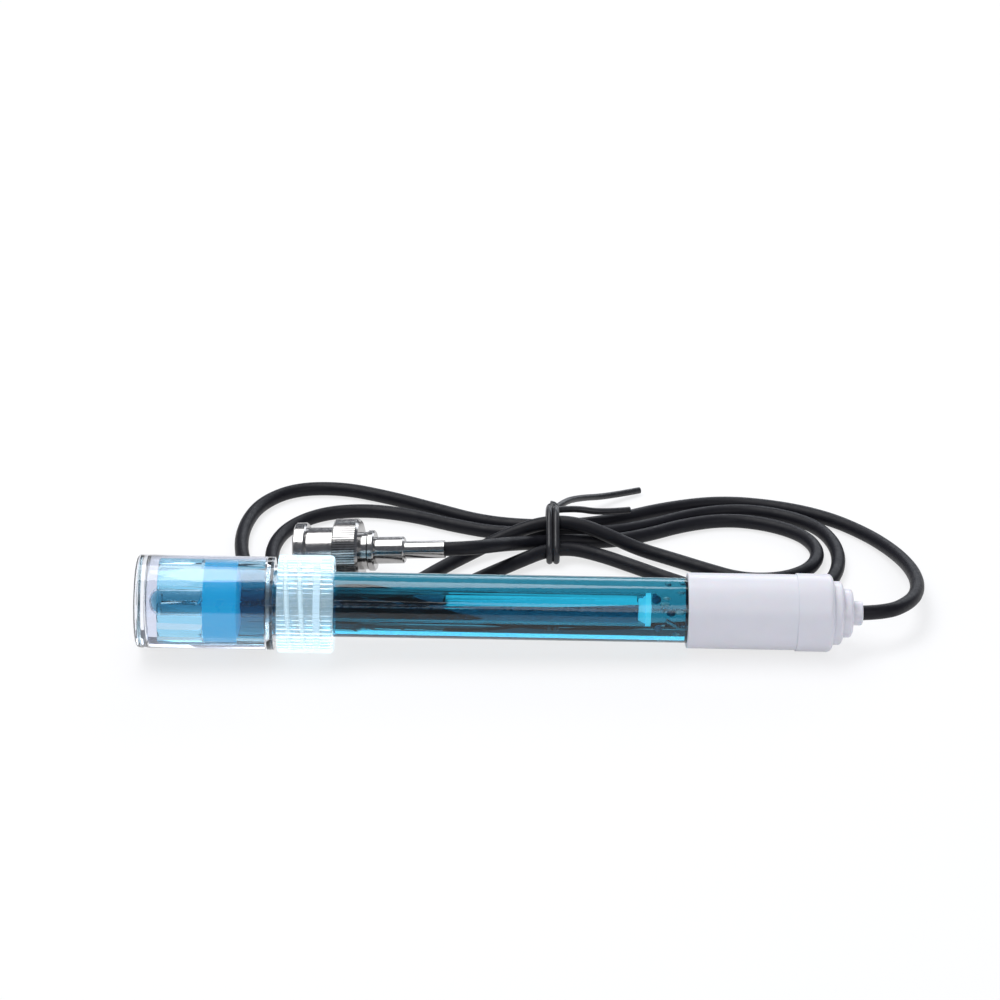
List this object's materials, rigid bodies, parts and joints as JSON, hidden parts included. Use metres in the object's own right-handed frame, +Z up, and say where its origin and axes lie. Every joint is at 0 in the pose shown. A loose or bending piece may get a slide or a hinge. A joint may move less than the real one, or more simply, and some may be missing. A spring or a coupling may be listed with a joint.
{
  "type": "ph electrode",
  "caption": "Combination pH probe with a clear body, glass bulb behind prongs, white head, hank of coaxial cable to a bayonet plug, and a soaking bottle screwed over its tip",
  "frame": {"origin": "On the ground, under the middle of the electrode from the soaking bottle's base to the tip of the white nose; the cable's hank and its plug are not counted", "axes": "X runs along the electrode from its tip to its cable end, Y points to the side that the cable's hank lies on, Z is up"},
  "size_m": [0.1719, 0.0871, 0.0213],
  "materials": {
    "clear_plastic": "gloss",
    "stem_glass": "gloss",
    "buffer_blue": "gloss",
    "gel_blue": "gloss",
    "seal_cyan": "gloss",
    "ceramic": "matte",
    "silver": "satin",
    "resin": "gloss",
    "white_plastic": "satin",
    "lead_insulation": "satin",
    "cable_black": "satin",
    "tie_black": "gloss",
    "nickel": "polished",
    "contact_metal": "satin",
    "gold_pin": "polished",
    "insulator_white": "satin",
    "gasket_rubber": "matte",
    "bottle_clear": "gloss",
    "solution_clear": "gloss",
    "ring_rubber": "matte",
    "cap_translucent": "satin"
  },
  "bodies": {
    "electrode": {"guard_tube": "clear_plastic", "glass_stem": "stem_glass", "inner_buffer": "buffer_blue", "silver_wire": "silver", "stem_stopper": "seal_cyan", "tip_seal": "seal_cyan", "ceramic_junction": "ceramic", "reference_gel": "gel_blue", "reference_wire": "silver", "potting_plug": "resin", "head_sleeve": "white_plastic", "head_cap": "white_plastic", "core_lead": "lead_insulation", "shield_lead": "silver", "signal_cable": "cable_black", "twist_tie": "tie_black", "plug_body": "nickel", "plug_contact_sleeve": "contact_metal", "plug_insulator": "insulator_white", "plug_centre_pin": "gold_pin", "plug_gasket": "gasket_rubber", "plug_retaining_ring": "contact_metal", "plug_spring_washer": "contact_metal", "crimp_ferrule": "nickel"},
    "bottle": {"storage_bottle": "bottle_clear", "storage_solution": "solution_clear"},
    "seal_ring": {"cap_seal": "ring_rubber"},
    "cap": {"screw_cap": "cap_translucent"},
    "nut_carrier": {"plug_thrust_washer": "contact_metal"},
    "nut": {"coupling_nut": "nickel"}
  },
  "joints": [
    {"name": "bottle_pull", "type": "slide", "parent": "electrode", "child": "bottle", "axis": [-0.9998, 0, 0.0197], "range_m": [0, 0.06]},
    {"name": "cap_lift", "type": "slide", "parent": "bottle", "child": "seal_ring", "axis": [0.9998, 0, -0.0197], "range_m": [0, 0.009]},
    {"name": "cap_turn", "type": "hinge", "parent": "seal_ring", "child": "cap", "pos_m": [-0.03987, 0, 0.01056], "axis": [0.9998, 0, -0.0197], "range_deg": [0, 1081]},
    {"name": "nut_slide", "type": "slide", "parent": "electrode", "child": "nut_carrier", "axis": [-0.9906, 0.1129, -0.0775], "range_m": [0, 0.0008], "stiffness_N_per_m": 2000, "deforming": ["plug_spring_washer"]},
    {"name": "nut_turn", "type": "hinge", "parent": "nut_carrier", "child": "nut", "pos_m": [-0.04544, 0.03254, 0.00651], "axis": [0.9906, -0.1129, 0.0775], "continuous": true}
  ],
  "couplings": [
    {"joint": "cap_turn", "follows": "cap_lift", "rad_per_m": 2094.4}
  ]
}
